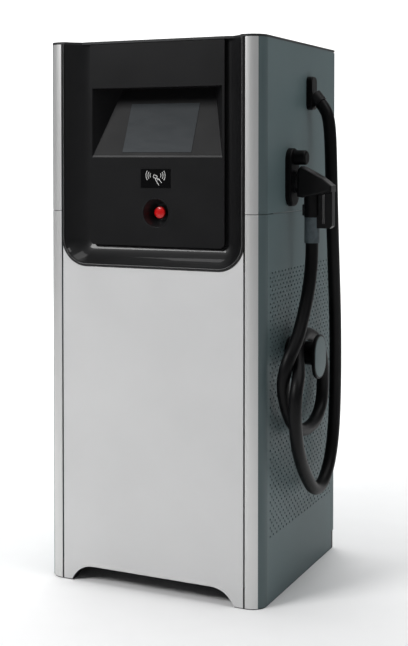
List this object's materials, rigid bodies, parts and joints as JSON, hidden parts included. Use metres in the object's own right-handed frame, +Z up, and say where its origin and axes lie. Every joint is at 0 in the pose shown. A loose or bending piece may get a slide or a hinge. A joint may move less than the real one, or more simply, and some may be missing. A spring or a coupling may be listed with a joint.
{
  "type": "ev charging post",
  "caption": "Free-standing steel cabinet with silver corner trims, a dished black fascia with a sloping screen, a stop button, and a holstered charging connector on a cable looped over a hook.",
  "frame": {"origin": "on the ground at the centre of the four anchor bolts", "axes": "+Z up, -Y out of the front with the screen, +X to the side with the connector"},
  "size_m": [0.9395, 0.71, 1.8],
  "materials": {
    "silver_trim": "satin anodised",
    "silver_panel": "fine metallic powder coat",
    "slate_panel": "fine textured slate powder coat",
    "slate_column": "slate powder-coated extrusion",
    "black_steel": "black powder coat",
    "fascia_black": "satin moulded black",
    "screen_black": "coated touch glass",
    "reader_face": "black acrylic",
    "stop_red": "moulded red",
    "dish_grey": "dark moulded",
    "zinc": "zinc plated",
    "black_plastic": "fine grained",
    "cable_rubber": "semi-matt sheath",
    "boot_grey": "matt grey-blue",
    "module_case": "brushed",
    "board_green": "solder resist",
    "contact_silver": "silver plated",
    "hook_slate": "moulded slate"
  },
  "bodies": {
    "cabinet": {"cable_entry_plate": "black_steel", "cable_gland": "black_plastic", "card_reader": "reader_face", "charging_cable": "cable_rubber", "control_board": "board_green", "equipment_plate": "zinc", "estop_block": "black_plastic", "estop_dish": "dish_grey", "fan_frame_1": "black_plastic", "fan_frame_2": "black_plastic", "fan_plate": "zinc", "fascia_bezel": "fascia_black", "floor_plate": "black_steel", "front_panel": "silver_panel", "hinge_leaves_fixed": "zinc", "holster_hood": "black_plastic", "holster_plate": "black_plastic", "holster_socket": "black_plastic", "hook_drum": "black_plastic", "hook_plate": "hook_slate", "inner_frame": "zinc", "lower_column_left": "slate_column", "lower_column_right": "slate_column", "lower_side_panel_left": "slate_panel", "lower_side_panel_right": "slate_panel", "lower_trim_left": "silver_trim", "lower_trim_right": "silver_trim", "main_breaker": "black_plastic", "module_rack": "zinc", "operator_panel": "fascia_black", "plinth_frame": "black_steel", "power_module_1": "module_case", "power_module_2": "module_case", "power_module_3": "module_case", "screen_glass": "screen_black", "screen_module": "black_plastic", "screen_recess": "fascia_black", "strain_relief": "cable_rubber", "top_cover": "black_steel", "upper_column_left": "slate_column", "upper_column_right": "slate_column", "upper_side_panel_left": "slate_panel", "upper_side_panel_right": "slate_panel", "upper_trim_left": "silver_trim", "upper_trim_right": "silver_trim"},
    "door": {"rear_door": "slate_panel", "hinge_leaves_door": "zinc"},
    "door_handle": {"door_handle": "black_steel", "lock_cam": "zinc"},
    "stop_stem": {"estop_stem": "zinc"},
    "stop_head": {"estop_head": "stop_red"},
    "fan_1": {"fan_rotor_1": "black_plastic"},
    "fan_2": {"fan_rotor_2": "black_plastic"},
    "breaker_lever": {"breaker_lever": "black_plastic"},
    "connector": {"connector_shell_near": "black_plastic", "connector_shell_far": "black_plastic", "connector_nose": "black_plastic", "contact_pins": "contact_silver", "connector_boot": "boot_grey"},
    "trigger": {"connector_trigger": "black_plastic"}
  },
  "joints": [
    {"name": "door_hinge", "type": "hinge", "parent": "cabinet", "child": "door", "pos_m": [-0.3945, 0.322, 0.93], "axis": [0, 0, 1], "range_deg": [0, 110]},
    {"name": "door_handle_turn", "type": "hinge", "parent": "door", "child": "door_handle", "pos_m": [0.33, 0.345, 1], "axis": [0, -1, 0], "range_deg": [0, 90]},
    {"name": "stop_push", "type": "slide", "parent": "cabinet", "child": "stop_stem", "axis": [0, 1, 0], "range_m": [0, 0.005]},
    {"name": "stop_twist", "type": "hinge", "parent": "stop_stem", "child": "stop_head", "pos_m": [0, -0.275, 1.236], "axis": [0, 1, 0], "range_deg": [0, 45], "stiffness_Nm_per_rad": 0.05},
    {"name": "fan_1_spin", "type": "hinge", "parent": "cabinet", "child": "fan_1", "pos_m": [0.36, 0.02, 0.39], "axis": [1, 0, 0], "continuous": true},
    {"name": "fan_2_spin", "type": "hinge", "parent": "cabinet", "child": "fan_2", "pos_m": [0.36, 0.02, 0.68], "axis": [1, 0, 0], "continuous": true},
    {"name": "breaker_throw", "type": "hinge", "parent": "cabinet", "child": "breaker_lever", "pos_m": [0, 0.048, 1.08], "axis": [1, 0, 0], "range_deg": [-30, 30]},
    {"name": "connector_pull", "type": "slide", "parent": "cabinet", "child": "connector", "axis": [1, 0, 0], "range_m": [0, 0.06]},
    {"name": "trigger_squeeze", "type": "slide", "parent": "connector", "child": "trigger", "axis": [1, 0, 0], "range_m": [0, 0.005], "stiffness_N_per_m": 400}
  ]
}
